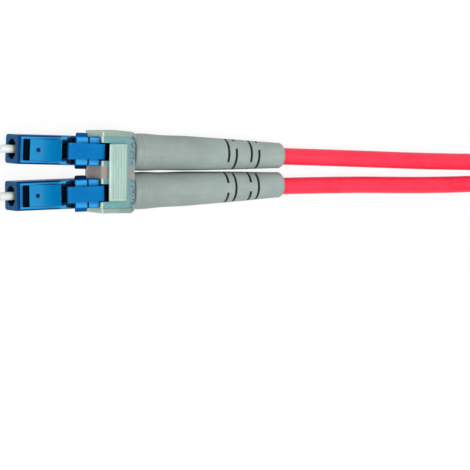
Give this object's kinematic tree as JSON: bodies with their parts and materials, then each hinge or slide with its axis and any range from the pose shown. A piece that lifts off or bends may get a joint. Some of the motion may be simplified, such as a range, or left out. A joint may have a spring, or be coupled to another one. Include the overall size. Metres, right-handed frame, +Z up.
{
  "type": "duplex fibre optic connector",
  "caption": "duplex fibre plug: square blue plugs with top latches and ceramic ferrules in a frosted clip, tapered grey boots, red cables wound into one tied hank",
  "frame": {"origin": "middle of the underside of the connector's bounding box, cables left out; it lies in the plane of the duplex clip's underside", "axes": "+X runs from the ferrules to the cables, +Y across the plugs from plug 2 to plug 1, +Z up to the latch side"},
  "size_m": [0.1636, 0.0282, 0.0168],
  "materials": {
    "clip_plastic": "frosted, slightly translucent",
    "plug_blue": "moulded, satin",
    "zirconia": "polished",
    "flange_metal": "machined",
    "tube_plastic": "extruded",
    "spring_steel": "drawn wire",
    "crimp_metal": "turned, nickel plated",
    "buffer_plastic": "extruded",
    "boot_grey": "matt",
    "cable_red": "extruded jacket, satin",
    "tie_black": "woven strap"
  },
  "bodies": {
    "connector": {"duplex_clip": "clip_plastic", "hank_tie": "tie_black", "front_housing_1": "plug_blue", "rear_housing_1": "plug_blue", "crimp_body_1": "crimp_metal", "crimp_sleeve_1": "crimp_metal", "spring_1": "spring_steel", "boot_1": "boot_grey", "cable_1": "cable_red", "hank_1": "cable_red", "front_housing_2": "plug_blue", "rear_housing_2": "plug_blue", "crimp_body_2": "crimp_metal", "crimp_sleeve_2": "crimp_metal", "spring_2": "spring_steel", "boot_2": "boot_grey", "cable_2": "cable_red", "hank_2": "cable_red"},
    "trigger_arm_1": {"trigger_1": "plug_blue"},
    "latch_arm_1": {"latch_1": "plug_blue"},
    "ferrule_group_1": {"ferrule_1": "zirconia", "ferrule_flange_1": "flange_metal", "ferrule_tube_1": "tube_plastic", "buffered_fibre_1": "buffer_plastic"},
    "trigger_arm_2": {"trigger_2": "plug_blue"},
    "latch_arm_2": {"latch_2": "plug_blue"},
    "ferrule_group_2": {"ferrule_2": "zirconia", "ferrule_flange_2": "flange_metal", "ferrule_tube_2": "tube_plastic", "buffered_fibre_2": "buffer_plastic"}
  },
  "joints": [
    {"name": "trigger_1_press", "type": "hinge", "parent": "connector", "child": "trigger_arm_1", "pos_m": [-0.00856, 0.0032, 0.00535], "axis": [0.0288, 0.9996, 0], "range_deg": [-10, 0], "stiffness_Nm_per_rad": 0.001},
    {"name": "latch_1_flex", "type": "hinge", "parent": "connector", "child": "latch_arm_1", "pos_m": [-0.01951, 0.00351, 0.0049], "axis": [0.0288, 0.9996, 0], "range_deg": [0, 9.1], "stiffness_Nm_per_rad": 0.001},
    {"name": "ferrule_1_push", "type": "slide", "parent": "connector", "child": "ferrule_group_1", "axis": [0.9996, -0.0288, 0], "range_m": [0, 0.0006], "stiffness_N_per_m": 1500, "springref_m": -0.003, "deforming": ["spring_1"]},
    {"name": "trigger_2_press", "type": "hinge", "parent": "connector", "child": "trigger_arm_2", "pos_m": [-0.00856, -0.0032, 0.00535], "axis": [-0.0288, 0.9996, 0], "range_deg": [-10, 0], "stiffness_Nm_per_rad": 0.001},
    {"name": "latch_2_flex", "type": "hinge", "parent": "connector", "child": "latch_arm_2", "pos_m": [-0.01951, -0.00351, 0.0049], "axis": [-0.0288, 0.9996, 0], "range_deg": [0, 9.1], "stiffness_Nm_per_rad": 0.001},
    {"name": "ferrule_2_push", "type": "slide", "parent": "connector", "child": "ferrule_group_2", "axis": [0.9996, 0.0288, 0], "range_m": [0, 0.0006], "stiffness_N_per_m": 1500, "springref_m": -0.003, "deforming": ["spring_2"]}
  ],
  "couplings": [
    {"joint": "latch_1_flex", "follows": "trigger_1_press", "ratio": -0.91},
    {"joint": "latch_2_flex", "follows": "trigger_2_press", "ratio": -0.91}
  ]
}
